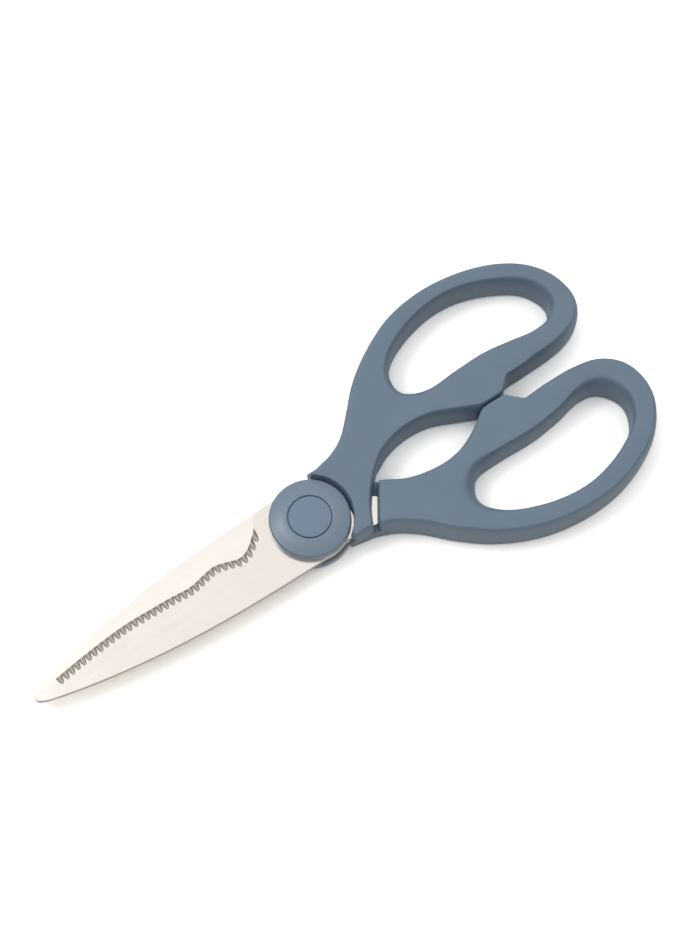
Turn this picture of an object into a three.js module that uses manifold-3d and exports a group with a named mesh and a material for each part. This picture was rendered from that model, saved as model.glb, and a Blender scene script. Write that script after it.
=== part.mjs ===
// Kitchen scissors, closed, lying flat. Millimetres, +Z up.
// The origin is on the pivot axis in the plane that the scissors rest on.
// +X runs from the pivot to the handles, +Y to the upper handle.
// Each half is drawn as the upper half, and the lower half is turned over about the X axis.

import * as THREE from 'three';
import { mergeVertices } from 'three/addons/utils/BufferGeometryUtils.js';
import Module from 'manifold-3d';

const wasm = await Module();
wasm.setup();

// Whole object
const OVERALL_THICKNESS = 12.8;
const MIDDLE = OVERALL_THICKNESS / 2;
const LEVEL_CLEARANCE = 0.15;

// Blades
const BLADE_THICKNESS = 2.0;
const BLADE_GAP = 0.1;
const BLADE_REACH = 99.7;
const BLADE_HALF_WIDTH = 12.5;
const FRONT_EXTRA_WIDTH = 0.3;
const ROOT_LENGTH = 5.0;
const ROOT_STEP = 0.5;
const BOSS_STEP = 0.55;
const SPINE_OVERRUN = 6.0;
const SPINE_POWER = 2.62;
const TIP_RADIUS = 1.7;
const TIP_DROP = 0.4;
const EDGE_BEVEL = 0.45;
const BLADE_FACE = MIDDLE + BLADE_GAP / 2 + BLADE_THICKNESS;
const BLADE_BACK = MIDDLE + BLADE_GAP / 2;

// Ground teeth along the front blade's edge
const TEETH_FROM_TIP = 9.6;
const TEETH_FROM_PIVOT = 17.0;
const TOOTH_PITCH = 2.15;
const TOOTH_RADIUS = 0.98;
const TOOTH_REACH = 3.1;
const TOOTH_DEPTH = 1.05;
const TOOTH_COUNT = Math.round((BLADE_REACH - TEETH_FROM_TIP - TEETH_FROM_PIVOT) / TOOTH_PITCH) + 1;

// Cutting edges from the tip to the heel beside the hub.
// Each point is a distance from the pivot and a height above the middle line.
// The run is stretched so that its first point lies one start length behind the tip.
const EDGE_START = 3.2;
const FRONT_EDGE = [
  [96.5, 1.3], [91.4, 1.8], [84.0, 2.8], [74.5, 3.8], [64.5, 4.4], [55.0, 4.1], [48.5, 3.8], [42.2, 3.3],
  [37.0, 4.2], [32.7, 4.8], [28.7, 3.8], [24.7, 2.6], [21.2, 3.5], [17.7, 6.0], [15.4, 8.4], [13.6, 11.6],
];
const REAR_EDGE = [
  [96.5, 1.3], [91.5, 1.8], [75.0, 3.8], [55.0, 4.8], [35.0, 5.2], [24.0, 5.7], [17.5, 8.0], [13.6, 11.6],
];
const SPINE_STATIONS = [0.12, 0.2, 0.3, 0.4, 0.5, 0.6, 0.7, 0.78, 0.86, 0.92, 0.97];

// Tang, the part of the blade inside the handle
const TANG = [
  [0, 11.4], [9, 11.2], [15.5, 11.6], [21.5, 13.6], [27, 17.2], [32, 19.8], [36, 19.4], [37.6, 16.2],
  [36, 12.4], [30, 8.6], [21.4, 3.9], [18.2, -0.5], [16.2, -5.5], [12.8, -10.2], [8, -11.7], [0, -11.4],
];
const TANG_CLEARANCE = 0.3;
const LOCK_AT = [29.5, 14.2];
const LOCK_RADIUS = 2.0;

// Pivot pin, its head and nut, and the washers that reach past both
const PIN_RADIUS = 2.5;
const PIN_CLEARANCE = 0.08;
const PIN_CHAMFER = 0.3;
const HEAD_FLANGE = 1.8;
const HEAD_CHAMFER = 0.5;
const SOCKET_RADIUS = 1.7;
const SOCKET_DEPTH = 1.0;
const NUT_WALL = 1.4;
const WASHER_RIM = 0.4;
const WASHER_THICKNESS = 0.4;
const WASHER_CLEARANCE = 0.2;
const SPRING_SHEET = 0.35;
const SPRING_CONE = 0.15;
const HEAD_RADIUS = PIN_RADIUS + HEAD_FLANGE;
const NUT_CORNER_RADIUS = (PIN_RADIUS + NUT_WALL) / Math.cos(Math.PI / 6);
const WASHER_RADIUS = Math.max(HEAD_RADIUS, NUT_CORNER_RADIUS) + WASHER_RIM;
const SPRING_HEIGHT = SPRING_SHEET + SPRING_CONE;

// Hub discs and caps, from the pocket round the washers out to the rim
const CAP_SKIRT = 0.7;
const CAP_SKIRT_WALL = 0.5;
const CAP_SKIRT_CLEARANCE = 0.1;
const CAP_LEDGE = 1.2;
const CAP_GROOVE = 0.2;
const CAP_THICKNESS = 0.95;
const CAP_CHAMFER = 0.15;
const DISC_BORE_CLEARANCE = 0.4;
const DISC_FLANGE = 0.8;
const DISC_LIP_WIDTH = 2.7;
const DISC_LIP_DROP = 0.22;
const DISC_SLOPE_WIDTH = 3.1;
const DISC_EDGE_DROP = 0.75;
const DISC_EDGE_ROUND = 0.3;
const DISC_DRAFT = 0.15;
const REAR_DISC_EXTRA = 0.6;
const COVER_CLEARANCE = 0.2;
const POCKET_RADIUS = WASHER_RADIUS + CAP_SKIRT_WALL + CAP_SKIRT_CLEARANCE;
const CAP_RADIUS = POCKET_RADIUS + CAP_LEDGE;
const DISC_OPENING = CAP_RADIUS + CAP_GROOVE;
const DISC_CREST_RADIUS = DISC_OPENING + DISC_LIP_WIDTH;
const DISC_RADIUS = DISC_CREST_RADIUS + DISC_SLOPE_WIDTH;
const DISC_HEIGHT = OVERALL_THICKNESS - BLADE_FACE;
const CAP_SEAT = DISC_HEIGHT - CAP_THICKNESS;
const HEAD_HEIGHT = CAP_SEAT - DISC_FLANGE - WASHER_THICKNESS - COVER_CLEARANCE;
const NUT_HEIGHT = CAP_SEAT - DISC_FLANGE - SPRING_HEIGHT - COVER_CLEARANCE;

// Handles. The collar clears the hub disc, and the shoulder clears the other handle's collar.
// Reach is from the pivot to the end of the loop, and spread from the middle line to its outer side.
const UPPER_REACH = 111.55;
const UPPER_SPREAD = 43.9;
const LOWER_REACH = 113.1;
const LOWER_SPREAD = 45.8;
const NECK_REACH = 38.0;
const NECK_SPREAD = 10.0;
const COLLAR_GAP = 0.15;
const COLLAR_RADIUS = DISC_RADIUS + REAR_DISC_EXTRA + DISC_DRAFT + COLLAR_GAP;
const FILLET_WIDTH = 1.9;
const FILLET_HEIGHT = 2.4;
const STOP_HALF_GAP = 0.1;
const COLLAR_FOOT = [[23.2, -1.0], [19.0, -6.0], [16.6, -10.0], [14.8, -13.7], [7.6, -13.8], [7.4, -8.0]];

// Outlines of one handle. The collar belongs to the level that holds the hub, the rest to both levels.
// The outer side starts at the shoulder.
// Past the neck they are stretched to the handle's reach and spread.
const UPPER = {
  reach: UPPER_REACH,
  spread: UPPER_SPREAD,
  collar: [[4.0, 9.6], [7.7, 11.7], [12.3, 12.7]],
  outer: [
    [16.5, 13.7], [22.2, 16.7], [28.2, 22.4], [35.4, 29.6], [44.7, 36.1], [57.0, 41.8], [70.4, 43.9],
    [83.5, 42.7], [95.2, 39.0], [104.4, 33.0], [110.0, 25.0], [111.55, 16.1], [108.85, 9.0], [102.5, 5.4],
    [94.8, 4.1], [86.0, 3.9],
  ],
  step: [[77.4, 4.0], [73.2, STOP_HALF_GAP], [64.4, STOP_HALF_GAP]],
  eye: [[57.0, 3.4], [50.0, 6.4], [42.2, 7.4], [35.0, 6.4], [29.0, 3.8]],
  shoulder: [[25.1, 2.0]],
  loop: [
    [46.4, 21.2], [48.6, 17.3], [55.2, 14.7], [65.2, 15.0], [75.8, 15.1], [85.4, 13.7], [93.2, 12.4],
    [99.7, 13.4], [103.5, 18.9], [100.6, 26.8], [93.0, 32.5], [82.7, 36.6], [72.2, 37.6], [62.0, 35.7],
    [53.0, 31.8], [47.8, 26.6],
  ],
};
const LOWER = {
  reach: LOWER_REACH,
  spread: LOWER_SPREAD,
  collar: [[4.0, 9.6], [7.55, 12.4], [12.15, 13.4]],
  outer: [
    [15.65, 14.15], [21.7, 17.05], [27.85, 21.8], [35.25, 29.3], [45.05, 37.0], [57.4, 43.0], [70.6, 45.8],
    [83.5, 45.7], [94.85, 42.8], [104.3, 37.75], [110.7, 30.1], [113.1, 21.4], [111.2, 12.8], [104.9, 6.9],
    [95.9, 4.7], [86.0, 4.4],
  ],
  step: [[77.6, 4.9], [72.9, STOP_HALF_GAP], [64.4, STOP_HALF_GAP]],
  eye: [[57.4, 4.7], [50.7, 7.5], [43.7, 8.2], [35.3, 6.9], [28.8, 4.1]],
  shoulder: [[24.6, 1.8]],
  loop: [
    [47.1, 24.1], [48.5, 19.8], [53.0, 16.0], [62.2, 15.5], [73.7, 15.9], [84.2, 14.9], [93.6, 13.2],
    [100.4, 14.9], [104.3, 22.2], [101.0, 30.2], [92.6, 35.3], [82.8, 38.3], [73.7, 38.8], [63.8, 37.0],
    [54.5, 33.2], [49.15, 28.55],
  ],
};

const ROUND_STEPS = 40;
const CURVE_STEPS = 3;
const FAR = 300;

// Solid helpers
function solid(geometry) {
  const bare = geometry.clone();
  bare.deleteAttribute('normal');
  bare.deleteAttribute('uv');
  const merged = mergeVertices(bare, 1e-4);
  return new wasm.Manifold(new wasm.Mesh({
    numProp: 3,
    vertProperties: new Float32Array(merged.attributes.position.array),
    triVerts: new Uint32Array(merged.index.array),
  }));
}

function geometryOf(body) {
  const mesh = body.getMesh();
  const geometry = new THREE.BufferGeometry();
  geometry.setAttribute('position', new THREE.BufferAttribute(new Float32Array(mesh.vertProperties), 3));
  geometry.setIndex(new THREE.BufferAttribute(new Uint32Array(mesh.triVerts), 1));
  geometry.computeVertexNormals();
  return geometry;
}

function vectors(points) {
  return points.map(([x, y]) => new THREE.Vector2(x, y));
}

function shapeOf(points) {
  return new THREE.Shape(vectors(points));
}

// Straight-sided plate of a shape between two heights, grown sideways by a clearance.
function plate(shape, low, high, grow = 0) {
  const geometry = new THREE.ExtrudeGeometry(shape, {
    depth: high - low,
    curveSegments: CURVE_STEPS,
    bevelEnabled: grow > 0,
    bevelSegments: 0,
    bevelThickness: 0,
    bevelSize: grow,
  });
  geometry.translate(0, 0, low);
  return solid(geometry);
}

function post(x, y, radius, low, high) {
  const geometry = new THREE.CylinderGeometry(radius, radius, high - low, ROUND_STEPS);
  geometry.rotateX(Math.PI / 2);
  geometry.translate(x, y, (low + high) / 2);
  return solid(geometry);
}

// Round piece from a profile of radius and height, about the pivot axis.
function turned(profile, base) {
  const geometry = new THREE.LatheGeometry(vectors(profile), ROUND_STEPS);
  geometry.rotateX(Math.PI / 2);
  geometry.translate(0, 0, base);
  return solid(geometry);
}

// The lower half's pieces are drawn as the upper half's and turned over about X.
function turnedOver(geometry) {
  geometry.scale(1, -1, -1);
  geometry.translate(0, 0, OVERALL_THICKNESS);
  return geometry;
}

// Blades
function spineAt(x, extra) {
  const runout = BLADE_REACH + SPINE_OVERRUN;
  return -extra - BLADE_HALF_WIDTH * (1 - Math.pow(Math.abs(x) / runout, SPINE_POWER));
}

function edgePoints(edge) {
  const stretch = (BLADE_REACH - EDGE_START) / edge[0][0];
  const curve = new THREE.SplineCurve(vectors(edge.map(([out, y]) => [-out * stretch, y])));
  return curve.getPoints((edge.length - 1) * CURVE_STEPS);
}

function edgeAt(points, x) {
  const after = Math.max(1, points.findIndex((point) => point.x >= x));
  const a = points[after - 1];
  const b = points[after];
  return a.y + (b.y - a.y) * (x - a.x) / (b.x - a.x);
}

// The outline runs round the tip, along the edge to the heel, across the root and back along the spine.
function bladeBody(edge, extra) {
  const along = edgePoints(edge);
  const back = [];
  const face = [];
  const tipX = -BLADE_REACH + TIP_RADIUS;
  const tipSteps = 6;
  const tipStart = 250;
  const tipEnd = 100;
  for (let i = 0; i <= tipSteps; i += 1) {
    const angle = THREE.MathUtils.degToRad(tipStart + (tipEnd - tipStart) * i / tipSteps);
    const tipY = TIP_RADIUS * Math.sin(angle) - TIP_DROP;
    const point = new THREE.Vector2(tipX + TIP_RADIUS * Math.cos(angle), tipY);
    back.push(point);
    face.push(point);
  }
  along.forEach((point, i) => {
    const before = along[Math.max(i - 1, 0)];
    const after = along[Math.min(i + 1, along.length - 1)];
    const inward = new THREE.Vector2(after.y - before.y, before.x - after.x).normalize();
    back.push(point);
    face.push(point.clone().addScaledVector(inward, EDGE_BEVEL));
  });
  const rootSide = BLADE_HALF_WIDTH - ROOT_STEP;
  const root = [
    [-ROOT_LENGTH, rootSide],
    [0, rootSide],
    [0, -rootSide],
    [-ROOT_LENGTH, spineAt(ROOT_LENGTH, extra)],
  ];
  const spine = SPINE_STATIONS.map((share) => [-share * BLADE_REACH, spineAt(share * BLADE_REACH, extra)]);
  vectors(root.concat(spine)).forEach((point) => {
    back.push(point);
    face.push(point);
  });
  return between(back, face, BLADE_BACK, BLADE_FACE);
}

// Solid between a lower and an upper outline with the same number of points.
function between(lower, upper, low, high) {
  const count = lower.length;
  const position = [];
  lower.forEach((point) => position.push(point.x, point.y, low));
  upper.forEach((point) => position.push(point.x, point.y, high));
  const clockwise = THREE.ShapeUtils.isClockWise(lower);
  const index = [];
  const face = (a, b, c) => (clockwise ? index.push(a, c, b) : index.push(a, b, c));
  const under = THREE.ShapeUtils.triangulateShape(lower, []);
  const over = THREE.ShapeUtils.triangulateShape(upper, []);
  under.forEach(([a, b, c]) => index.push(a, c, b));
  over.forEach(([a, b, c]) => index.push(a + count, b + count, c + count));
  for (let i = 0; i < count; i += 1) {
    const next = (i + 1) % count;
    face(i, next, next + count);
    face(i, next + count, i + count);
  }
  const geometry = new THREE.BufferGeometry();
  geometry.setAttribute('position', new THREE.Float32BufferAttribute(position, 3));
  geometry.setIndex(index);
  return solid(geometry);
}

// One groove: a round cutter that sinks into the blade's face towards the edge.
function toothCutter(x, edgeY) {
  const length = 8;
  const slope = Math.atan2(TOOTH_DEPTH, TOOTH_REACH);
  const geometry = new THREE.CylinderGeometry(TOOTH_RADIUS, TOOTH_RADIUS, length, 8);
  geometry.rotateX(-slope);
  const rise = TOOTH_RADIUS / Math.cos(slope);
  geometry.translate(x, edgeY, BLADE_FACE - TOOTH_DEPTH + rise);
  return solid(geometry);
}

// Half round of the blade's plate about the pivot, on the spine's side.
function hubBoss() {
  const half = shapeOf([[-FAR, -FAR], [FAR, -FAR], [FAR, 0], [-FAR, 0]]);
  const round = post(0, 0, BLADE_HALF_WIDTH + BOSS_STEP, BLADE_BACK, BLADE_FACE);
  return round.intersect(plate(half, BLADE_BACK, BLADE_FACE));
}

function blade(edge, extra, toothed) {
  let body = bladeBody(edge, extra).add(plate(shapeOf(TANG), BLADE_BACK, BLADE_FACE)).add(hubBoss());
  body = body.subtract(post(0, 0, PIN_RADIUS + PIN_CLEARANCE, 0, OVERALL_THICKNESS));
  body = body.subtract(post(...LOCK_AT, LOCK_RADIUS + TANG_CLEARANCE, 0, OVERALL_THICKNESS));
  if (toothed) {
    const along = edgePoints(edge);
    for (let i = 0; i < TOOTH_COUNT; i += 1) {
      const x = -BLADE_REACH + TEETH_FROM_TIP + i * TOOTH_PITCH;
      body = body.subtract(toothCutter(x, edgeAt(along, x)));
    }
  }
  return geometryOf(body);
}

// Handles
function pastNeck(value, neck, drawn, wanted) {
  return value <= neck ? value : neck + (value - neck) * (wanted - neck) / (drawn - neck);
}

function stretched(outline) {
  const drawnReach = Math.max(...outline.outer.map(([x]) => x));
  const drawnSpread = Math.max(...outline.outer.map(([, y]) => y));
  const fit = (points) => points.map(([x, y]) => [
    pastNeck(x, NECK_REACH, drawnReach, outline.reach),
    pastNeck(y, NECK_SPREAD, drawnSpread, outline.spread),
  ]);
  return {
    collar: outline.collar,
    outer: fit(outline.outer),
    step: fit(outline.step),
    eye: fit(outline.eye),
    shoulder: outline.shoulder,
    loop: fit(outline.loop),
  };
}

function handleShape(outline, start, end) {
  const shape = new THREE.Shape();
  const straight = start.concat(outline.outer.slice(0, 2));
  shape.moveTo(...straight[0]);
  straight.slice(1).forEach((point) => shape.lineTo(...point));
  shape.splineThru(vectors(outline.outer.slice(2)));
  outline.step.forEach((point) => shape.lineTo(...point));
  shape.splineThru(vectors(outline.eye));
  end.forEach((point) => shape.lineTo(...point));
  shape.closePath();
  const loop = new THREE.SplineCurve(vectors(outline.loop.concat([outline.loop[0]])));
  const hole = new THREE.Path();
  hole.setFromPoints(loop.getPoints(outline.loop.length * CURVE_STEPS).slice(0, -1));
  shape.holes.push(hole);
  return shape;
}

// Full-thickness moulding of a shape with rounded edges on both faces.
function moulding(shape) {
  const geometry = new THREE.ExtrudeGeometry(shape, {
    depth: OVERALL_THICKNESS - 2 * FILLET_HEIGHT,
    curveSegments: CURVE_STEPS,
    bevelEnabled: true,
    bevelSegments: 2,
    bevelThickness: FILLET_HEIGHT,
    bevelSize: FILLET_WIDTH,
    bevelOffset: -FILLET_WIDTH,
  });
  geometry.translate(0, 0, FILLET_HEIGHT);
  return solid(geometry);
}

function handle(drawn) {
  const outline = stretched(drawn);
  const split = MIDDLE + LEVEL_CLEARANCE;
  const below = shapeOf([[-FAR, -FAR], [FAR, -FAR], [FAR, FAR], [-FAR, FAR]]);
  const frontLevel = moulding(handleShape(outline, outline.collar, COLLAR_FOOT));
  const rearLevel = moulding(handleShape(outline, [], outline.shoulder));
  let body = frontLevel.subtract(plate(below, -FAR, split)).add(rearLevel);
  body = body.subtract(post(0, 0, COLLAR_RADIUS, -FAR, FAR));
  const pocket = plate(shapeOf(TANG), BLADE_BACK - TANG_CLEARANCE, BLADE_FACE, TANG_CLEARANCE);
  body = body.subtract(pocket.subtract(post(...LOCK_AT, LOCK_RADIUS, 0, OVERALL_THICKNESS)));
  return geometryOf(body);
}

// Hub
function hubDisc(extra) {
  const bore = PIN_RADIUS + DISC_BORE_CLEARANCE;
  const rim = DISC_RADIUS + extra;
  const edge = DISC_HEIGHT - DISC_EDGE_DROP;
  const slope = (rim + DISC_CREST_RADIUS) / 2;
  const lip = DISC_OPENING + DISC_LIP_WIDTH / 2;
  return geometryOf(turned([
    [bore, 0],
    [rim + DISC_DRAFT, 0],
    [rim, edge - DISC_EDGE_ROUND / 2],
    [rim - DISC_EDGE_ROUND, edge + DISC_EDGE_ROUND / 2],
    [slope, DISC_HEIGHT - DISC_EDGE_DROP / 4],
    [DISC_CREST_RADIUS, DISC_HEIGHT],
    [lip, DISC_HEIGHT - DISC_LIP_DROP / 4],
    [DISC_OPENING, DISC_HEIGHT - DISC_LIP_DROP],
    [DISC_OPENING, CAP_SEAT],
    [POCKET_RADIUS, CAP_SEAT],
    [POCKET_RADIUS, DISC_FLANGE],
    [bore, DISC_FLANGE],
    [bore, 0],
  ], BLADE_FACE));
}

function hubCap() {
  const skirt = POCKET_RADIUS - CAP_SKIRT_CLEARANCE;
  return geometryOf(turned([
    [0, CAP_SEAT],
    [skirt - CAP_SKIRT_WALL, CAP_SEAT],
    [skirt - CAP_SKIRT_WALL, CAP_SEAT - CAP_SKIRT],
    [skirt, CAP_SEAT - CAP_SKIRT],
    [skirt, CAP_SEAT],
    [CAP_RADIUS, CAP_SEAT],
    [CAP_RADIUS, DISC_HEIGHT - CAP_CHAMFER],
    [CAP_RADIUS - CAP_CHAMFER, DISC_HEIGHT],
    [0, DISC_HEIGHT],
  ], BLADE_FACE));
}

// Pivot hardware. Heights on the rear side count down from the rear blade's outer face.
const HEAD_SEAT = BLADE_FACE + DISC_FLANGE + WASHER_THICKNESS;
const REAR_FACE = OVERALL_THICKNESS - BLADE_FACE;
const NUT_SEAT = REAR_FACE - DISC_FLANGE - SPRING_HEIGHT;

function pivotScrew() {
  const end = NUT_SEAT - NUT_HEIGHT;
  const top = HEAD_SEAT + HEAD_HEIGHT;
  const body = turned([
    [0, end],
    [PIN_RADIUS - PIN_CHAMFER, end],
    [PIN_RADIUS, end + PIN_CHAMFER],
    [PIN_RADIUS, HEAD_SEAT],
    [HEAD_RADIUS, HEAD_SEAT],
    [HEAD_RADIUS, top - HEAD_CHAMFER],
    [HEAD_RADIUS - HEAD_CHAMFER, top],
    [0, top],
  ], 0);
  const hex = new THREE.CylinderGeometry(SOCKET_RADIUS, SOCKET_RADIUS, 2 * SOCKET_DEPTH, 6);
  hex.rotateX(Math.PI / 2);
  hex.translate(0, 0, top);
  return geometryOf(body.subtract(solid(hex)));
}

function pivotNut() {
  const hex = new THREE.CylinderGeometry(NUT_CORNER_RADIUS, NUT_CORNER_RADIUS, NUT_HEIGHT, 6);
  hex.rotateX(Math.PI / 2);
  hex.translate(0, 0, NUT_SEAT - NUT_HEIGHT / 2);
  return geometryOf(solid(hex).subtract(post(0, 0, PIN_RADIUS + PIN_CLEARANCE, 0, OVERALL_THICKNESS)));
}

function headWasher() {
  const bore = PIN_RADIUS + WASHER_CLEARANCE;
  return geometryOf(turned([
    [bore, 0],
    [WASHER_RADIUS, 0],
    [WASHER_RADIUS, WASHER_THICKNESS],
    [bore, WASHER_THICKNESS],
    [bore, 0],
  ], BLADE_FACE + DISC_FLANGE));
}

// Slightly coned washer: its rim bears on the disc and its bore on the nut.
function springWasher() {
  const bore = PIN_RADIUS + WASHER_CLEARANCE;
  return geometryOf(turned([
    [bore, 0],
    [WASHER_RADIUS, SPRING_CONE],
    [WASHER_RADIUS, SPRING_HEIGHT],
    [bore, SPRING_SHEET],
    [bore, 0],
  ], NUT_SEAT));
}

// Materials
function steel(color, roughness) {
  return new THREE.MeshStandardMaterial({ color, roughness, metalness: 1 });
}

function plastic(color, roughness) {
  return new THREE.MeshStandardMaterial({ color, roughness, metalness: 0 });
}

const group = new THREE.Group();
group.name = 'kitchen_scissors';

function piece(name, geometry, material) {
  const mesh = new THREE.Mesh(geometry, material);
  mesh.name = name;
  group.add(mesh);
}

piece('front_blade', blade(FRONT_EDGE, FRONT_EXTRA_WIDTH, true), steel(0xd8d4cd, 0.32));
piece('upper_handle', handle(UPPER), plastic(0x6e7f8f, 0.55));
piece('front_hub_disc', hubDisc(0), plastic(0x74828f, 0.5));
piece('front_hub_cap', hubCap(), plastic(0x6c8096, 0.5));
piece('rear_blade', turnedOver(blade(REAR_EDGE, 0, false)), steel(0xdcd9d4, 0.3));
piece('lower_handle', turnedOver(handle(LOWER)), plastic(0x6e7f8f, 0.55));
piece('rear_hub_disc', turnedOver(hubDisc(REAR_DISC_EXTRA)), plastic(0x74828f, 0.5));
piece('rear_hub_cap', turnedOver(hubCap()), plastic(0x6c8096, 0.5));
piece('pivot_screw', pivotScrew(), steel(0xa9a9a8, 0.35));
piece('pivot_nut', pivotNut(), steel(0xa2a2a1, 0.4));
piece('head_washer', headWasher(), steel(0xb0b0ae, 0.4));
piece('spring_washer', springWasher(), steel(0x8f8f8e, 0.45));

export default group;
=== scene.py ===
"""Kitchen scissors: fine handles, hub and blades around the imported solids, on a pale studio floor."""

import math

import bmesh
import bpy
import numpy as np
from bpy.props import FloatProperty, FloatVectorProperty, IntProperty, PointerProperty
from mathutils import Matrix, Vector
from mathutils.geometry import delaunay_2d_cdt


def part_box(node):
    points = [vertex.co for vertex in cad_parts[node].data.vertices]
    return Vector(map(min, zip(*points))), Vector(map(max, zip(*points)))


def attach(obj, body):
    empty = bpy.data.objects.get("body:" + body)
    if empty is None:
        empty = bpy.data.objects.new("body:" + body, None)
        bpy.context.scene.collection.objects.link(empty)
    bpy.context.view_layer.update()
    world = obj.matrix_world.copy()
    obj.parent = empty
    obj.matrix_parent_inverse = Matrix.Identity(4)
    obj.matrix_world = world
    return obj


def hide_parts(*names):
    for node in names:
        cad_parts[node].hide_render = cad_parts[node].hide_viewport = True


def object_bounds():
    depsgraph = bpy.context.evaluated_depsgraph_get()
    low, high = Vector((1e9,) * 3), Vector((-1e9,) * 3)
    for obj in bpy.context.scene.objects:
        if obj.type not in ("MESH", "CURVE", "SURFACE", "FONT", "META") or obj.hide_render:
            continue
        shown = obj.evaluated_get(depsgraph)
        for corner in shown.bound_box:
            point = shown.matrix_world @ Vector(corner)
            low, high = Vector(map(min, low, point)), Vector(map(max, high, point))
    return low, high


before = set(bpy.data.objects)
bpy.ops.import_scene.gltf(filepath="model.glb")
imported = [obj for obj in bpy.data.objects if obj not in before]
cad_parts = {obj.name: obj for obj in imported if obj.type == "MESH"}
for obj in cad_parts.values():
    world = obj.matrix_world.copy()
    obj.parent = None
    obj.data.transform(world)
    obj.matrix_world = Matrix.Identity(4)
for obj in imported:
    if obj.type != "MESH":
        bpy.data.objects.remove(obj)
CAD_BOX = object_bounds()

bl_info = {
    "name": "Kitchen scissors",
    "version": (1, 0, 0),
    "blender": (4, 5, 0),
    "location": "View3D > Sidebar > Scissors",
    "description": "Builds the handles, hub and blades of a pair of kitchen scissors and their studio",
    "category": "Object",
}

# Millimetres to metres. The outlines below are in millimetres, in the frame of the solids.
MM = 0.001

# Heights that the solids share
THICKNESS = CAD_BOX[1].z / MM
BLADE_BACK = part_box("front_blade")[0].z / MM
BLADE_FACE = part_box("front_blade")[1].z / MM
SPLIT = THICKNESS / 2 + 0.15

# Direction that the photograph looks from, round the pivot axis
VIEW_AZIMUTH = math.radians(-34.1)

# Handle outlines, drawn as the upper handle. The lower one is turned over about X.
COLLAR_FOOT = [(23.2, -1.0), (19.0, -6.0), (16.6, -10.0), (14.8, -13.7)]
FOOT_END = (7.6, -13.8)
SHOULDER_CORNER = 2.4
UPPER = {
    "ring": (13.45, 1.0),
    "collar": [(7.7, 11.7), (12.3, 12.7)],
    "outer": [
        (16.5, 13.7), (22.2, 16.7), (28.2, 22.4), (35.4, 29.6), (44.7, 36.1), (57.0, 41.8),
        (70.4, 43.9), (83.5, 42.7), (95.2, 39.0), (104.4, 33.0), (110.0, 25.0), (111.55, 16.1),
        (108.85, 9.0), (102.5, 5.4), (94.8, 4.1), (86.0, 3.9),
    ],
    "step": [(77.4, 4.0), (73.2, 0.1), (64.4, 0.1)],
    "eye": [(57.0, 3.4), (50.0, 6.4), (42.2, 7.4), (35.0, 6.4), (29.0, 3.8)],
    "shoulder": (25.1, 2.0),
    "loop": [
        (46.4, 21.2), (48.6, 17.3), (55.2, 14.7), (65.2, 15.0), (75.8, 15.1), (85.4, 13.7),
        (93.2, 12.4), (99.7, 13.4), (103.5, 18.9), (100.6, 26.8), (93.0, 32.5), (82.7, 36.6),
        (72.2, 37.6), (62.0, 35.7), (53.0, 31.8), (47.8, 26.6),
    ],
    "scoops": [((47.2, 19.0), 1.7, 9.0), ((103.0, 21.0), 1.3, 8.0)],
}
LOWER = {
    "ring": (13.6, 0.0),
    "collar": [(7.55, 12.4), (12.15, 13.4)],
    "outer": [
        (15.65, 14.15), (21.7, 17.05), (27.85, 21.8), (35.25, 29.3), (45.05, 37.0), (57.4, 43.0),
        (70.6, 45.8), (83.5, 45.7), (94.85, 42.8), (104.3, 37.75), (110.7, 30.1), (113.1, 21.4),
        (111.2, 12.8), (104.9, 6.9), (95.9, 4.7), (86.0, 4.4),
    ],
    "step": [(77.6, 4.9), (72.9, 0.1), (64.4, 0.1)],
    "eye": [(57.4, 4.7), (50.7, 7.5), (43.7, 8.2), (35.3, 6.9), (28.8, 4.1)],
    "shoulder": (24.2, 1.4),
    "loop": [
        (47.1, 24.1), (48.5, 19.8), (53.0, 16.0), (62.2, 15.5), (73.7, 15.9), (84.2, 14.9),
        (93.6, 13.2), (100.4, 14.9), (104.3, 22.2), (101.0, 30.2), (92.6, 35.3), (82.8, 38.3),
        (73.7, 38.8), (63.8, 37.0), (54.5, 33.2), (49.15, 28.55),
    ],
    "scoops": [((47.6, 22.5), 3.9, 9.0), ((101.0, 15.5), 1.8, 9.0)],
}

# Blade outlines: distance from the pivot and height above the middle line
BLADE_REACH = 99.7
BLADE_HALF_WIDTH = 12.5
FRONT_EXTRA_WIDTH = 0.3
BOSS_RADIUS = 13.05
SPINE_RUNOUT = 105.7
SPINE_POWER = 2.62
TIP_RADIUS = 1.7
TIP_DROP = 0.4
FRONT_EDGE = [
    (96.5, 1.3), (91.4, 1.8), (84.0, 2.8), (74.5, 3.8), (64.5, 4.4), (55.0, 4.1), (48.5, 3.8), (42.2, 3.3),
    (37.0, 4.2), (32.7, 4.8), (28.7, 3.8), (24.7, 2.6), (21.2, 3.5), (17.7, 6.0), (15.4, 8.4), (13.6, 11.6),
]
REAR_EDGE = [
    (96.5, 1.3), (91.5, 1.8), (75.0, 3.8), (55.0, 4.8), (35.0, 5.2), (24.0, 5.7), (17.5, 8.0), (13.6, 11.6),
]
TANG = [
    (15.5, 11.6), (21.5, 13.6), (27.0, 17.2), (32.0, 19.8), (36.0, 19.4), (37.6, 16.2), (36.0, 12.4),
    (30.0, 8.6), (21.4, 3.9), (18.2, -0.5), (16.2, -5.5), (12.8, -10.2), (8.0, -11.7),
]
LOCK_AT = (29.5, 14.2)

# Sizes of the hub and of the holes in the blades, from the solids
HUB_CAP_RADIUS = 6.64
HUB_OPENING = 6.92
HUB_POCKET = 5.503
HUB_BORE = 2.9
HUB_FLOOR = 0.8
CAP_THICKNESS = 0.95
SCREW_HOLE = 2.58
LOCK_HOLE = 2.3

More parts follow.
